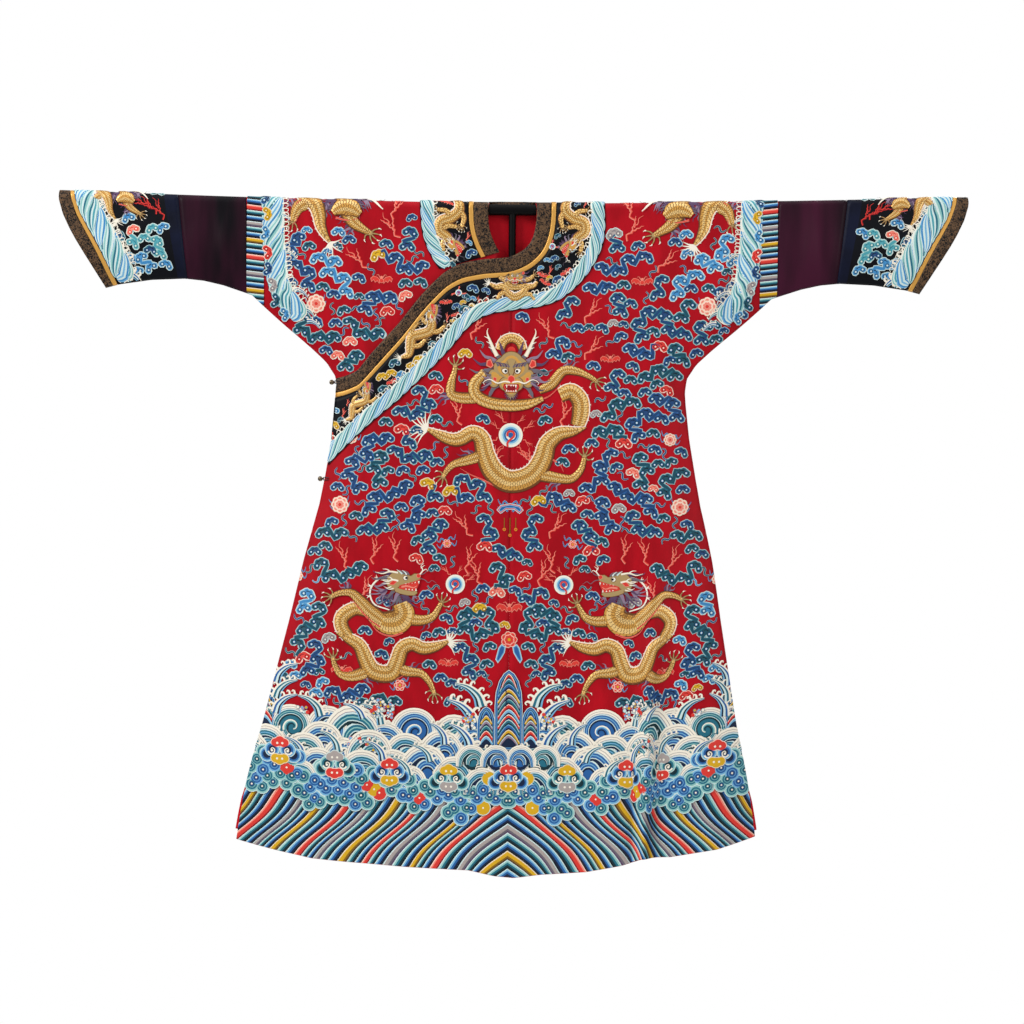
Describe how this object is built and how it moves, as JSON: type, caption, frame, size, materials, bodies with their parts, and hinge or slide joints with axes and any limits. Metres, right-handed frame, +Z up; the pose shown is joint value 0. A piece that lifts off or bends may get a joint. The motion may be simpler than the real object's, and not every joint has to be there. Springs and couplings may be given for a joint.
{
  "type": "chinese dragon robe on a t-bar",
  "caption": "Lined silk dragon robe with horse-hoof cuffs and a curved side-closing lap, hanging open and flat from a crossbar that runs through both sleeves.",
  "frame": {"origin": "centre of the crossbar, at the middle of the shoulder fold", "axes": "+X to the wearer's left along the sleeves, +Y towards the robe's back, +Z up; the front faces -Y"},
  "size_m": [1.8857, 0.094, 1.4176],
  "materials": {
    "red_satin": "crimson silk satin with embroidery",
    "black_satin": "black silk satin with embroidery",
    "gold_braid": "woven metal-thread braid",
    "brown_brocade": "brown and black brocade",
    "aubergine_silk": "plain silk",
    "silk_cord": "thin silk cord",
    "brass": "dull gilt",
    "black_paint": "satin black"
  },
  "bodies": {
    "root": {"body_right": "red_satin", "body_left": "red_satin", "outer_lap": "red_satin", "collar_facing": "black_satin", "collar_braid": "gold_braid", "collar_binding": "brown_brocade", "sleeve_right": "aubergine_silk", "sleeve_left": "aubergine_silk", "cuff_right": "black_satin", "cuff_left": "black_satin", "cuff_braid_right": "gold_braid", "cuff_braid_left": "gold_braid", "cuff_binding_right": "brown_brocade", "cuff_binding_left": "brown_brocade", "button_underarm": "brass", "button_side": "brass", "loop_underarm": "silk_cord", "loop_side": "silk_cord", "t_bar": "black_paint"}
  },
  "joints": []
}
